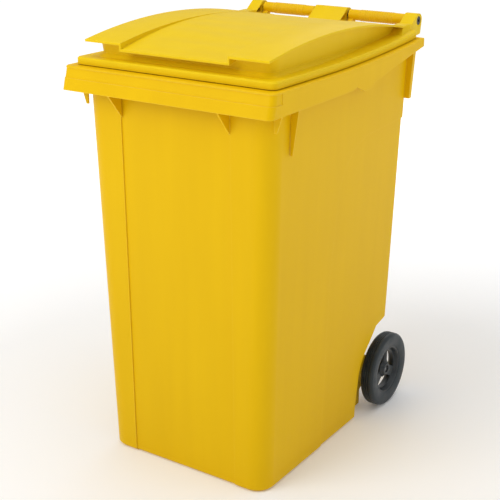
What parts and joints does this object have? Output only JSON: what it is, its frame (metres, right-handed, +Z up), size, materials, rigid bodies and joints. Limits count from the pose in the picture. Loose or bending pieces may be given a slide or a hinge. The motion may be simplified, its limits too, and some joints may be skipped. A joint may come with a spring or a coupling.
{
  "type": "wheeled waste bin",
  "caption": "Tall tapered plastic waste bin with a lifting rim, a domed lid hinged on rear handle grips, and a wheel at each rear corner.",
  "frame": {"origin": "on the floor, in the middle of the bin's length and width", "axes": "+Z up, -Y towards the bin's front, +Y towards the handles and wheels, +X across the bin"},
  "size_m": [0.58, 0.7645, 1.072],
  "materials": {
    "bin_plastic": "satin moulded polyethylene",
    "lid_plastic": "satin moulded polyethylene",
    "pin_plastic": "satin",
    "tyre_rubber": "matte",
    "hub_plastic": "satin",
    "bush_plastic": "smooth",
    "axle_steel": "galvanised",
    "spring_steel": "drawn wire"
  },
  "bodies": {
    "bin": {"bin_body": "bin_plastic", "axle": "axle_steel", "hinge_pin_right_outer": "pin_plastic", "hinge_pin_right_inner": "pin_plastic", "hinge_pin_left_outer": "pin_plastic", "hinge_pin_left_inner": "pin_plastic", "axle_sleeve_right": "hub_plastic", "axle_sleeve_left": "hub_plastic"},
    "lid": {"lid": "lid_plastic"},
    "right_wheel": {"wheel_right_tyre": "tyre_rubber", "wheel_right_hub": "hub_plastic", "wheel_right_bush": "bush_plastic", "lock_right_cap": "hub_plastic", "lock_right_spring": "spring_steel"},
    "left_wheel": {"wheel_left_tyre": "tyre_rubber", "wheel_left_hub": "hub_plastic", "wheel_left_bush": "bush_plastic", "lock_left_cap": "hub_plastic", "lock_left_spring": "spring_steel"},
    "right_lock": {"lock_right_plunger": "axle_steel"},
    "left_lock": {"lock_left_plunger": "axle_steel"}
  },
  "joints": [
    {"name": "lid_hinge", "type": "hinge", "parent": "bin", "child": "lid", "pos_m": [0, 0.364, 1.045], "axis": [-1, 0, 0], "range_deg": [0, 270]},
    {"name": "right_wheel_spin", "type": "hinge", "parent": "bin", "child": "right_wheel", "pos_m": [0.238, 0.279, 0.102], "axis": [1, 0, 0], "continuous": true},
    {"name": "left_wheel_spin", "type": "hinge", "parent": "bin", "child": "left_wheel", "pos_m": [-0.238, 0.279, 0.102], "axis": [1, 0, 0], "continuous": true},
    {"name": "right_lock_release", "type": "slide", "parent": "right_wheel", "child": "right_lock", "axis": [0, 0, 1], "range_m": [0, 0.003], "stiffness_N_per_m": 400, "springref_m": -0.002, "deforming": ["lock_right_spring"]},
    {"name": "left_lock_release", "type": "slide", "parent": "left_wheel", "child": "left_lock", "axis": [0, 0, 1], "range_m": [0, 0.003], "stiffness_N_per_m": 400, "springref_m": -0.002, "deforming": ["lock_left_spring"]}
  ]
}
